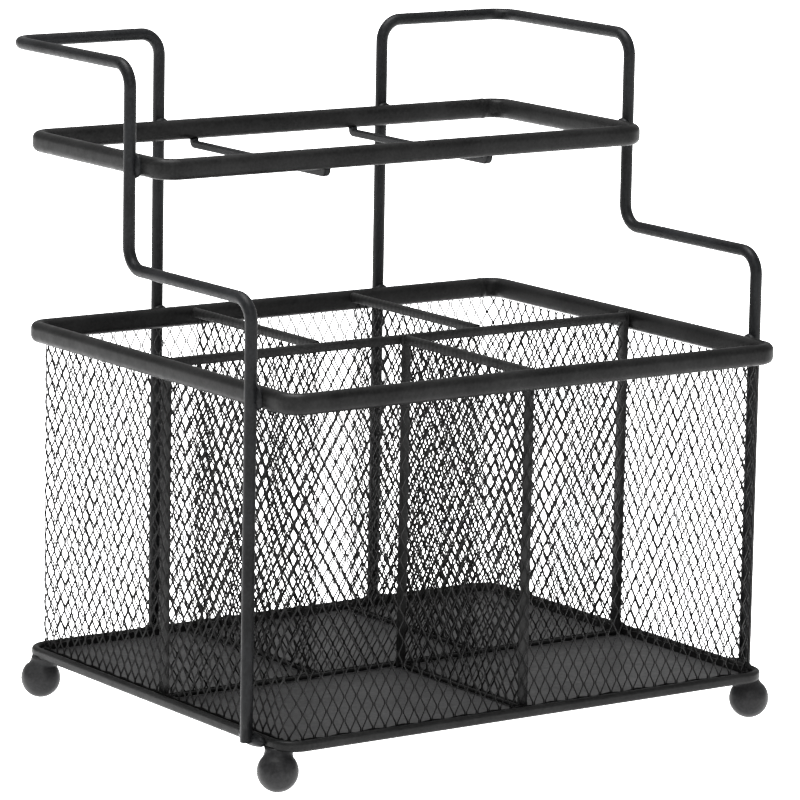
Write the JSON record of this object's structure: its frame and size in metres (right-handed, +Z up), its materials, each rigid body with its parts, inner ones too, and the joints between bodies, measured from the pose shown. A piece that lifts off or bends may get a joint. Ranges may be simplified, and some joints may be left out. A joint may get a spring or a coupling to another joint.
{
  "type": "desktop organizer caddy",
  "caption": "Wire-mesh caddy: a divided expanded-metal basket on ball feet, with bent-wire side frames that hold a divided ring above its rear compartments.",
  "frame": {"origin": "on the surface it stands on, under the middle of its bounding box", "axes": "+X along the long side to the right, +Y to the back where the ring is, +Z up"},
  "size_m": [0.2496, 0.2032, 0.2725],
  "materials": {
    "rim_tube": "satin black powder coat on flattened steel tube",
    "wire": "satin black powder coat on steel wire",
    "expanded_mesh": "satin black powder coat on expanded steel mesh",
    "folded_strip": "satin black powder coat on thin folded steel",
    "base_sheet": "satin black powder coat on flat sheet steel",
    "ball_feet": "satin black powder coat on steel balls"
  },
  "bodies": {
    "root": {"basket_rim": "rim_tube", "mesh_wall": "expanded_mesh", "base_bead": "rim_tube", "base_pan": "base_sheet", "long_divider_mesh": "expanded_mesh", "long_divider_top_cap": "folded_strip", "long_divider_bottom_strip": "folded_strip", "rear_left_divider_mesh": "expanded_mesh", "rear_left_divider_top_cap": "folded_strip", "rear_left_divider_bottom_strip": "folded_strip", "rear_right_divider_mesh": "expanded_mesh", "rear_right_divider_top_cap": "folded_strip", "rear_right_divider_bottom_strip": "folded_strip", "front_divider_mesh": "expanded_mesh", "front_divider_top_cap": "folded_strip", "front_divider_bottom_strip": "folded_strip", "long_divider_left_end_strip": "folded_strip", "long_divider_right_end_strip": "folded_strip", "front_divider_front_end_strip": "folded_strip", "front_divider_rear_end_strip": "folded_strip", "upper_ring": "rim_tube", "ring_crossbar_left": "wire", "ring_crossbar_right": "wire", "left_side_frame": "wire", "right_side_frame": "wire", "ball_foot_front_left": "ball_feet", "ball_foot_rear_left": "ball_feet", "ball_foot_front_right": "ball_feet", "ball_foot_rear_right": "ball_feet"}
  },
  "joints": []
}
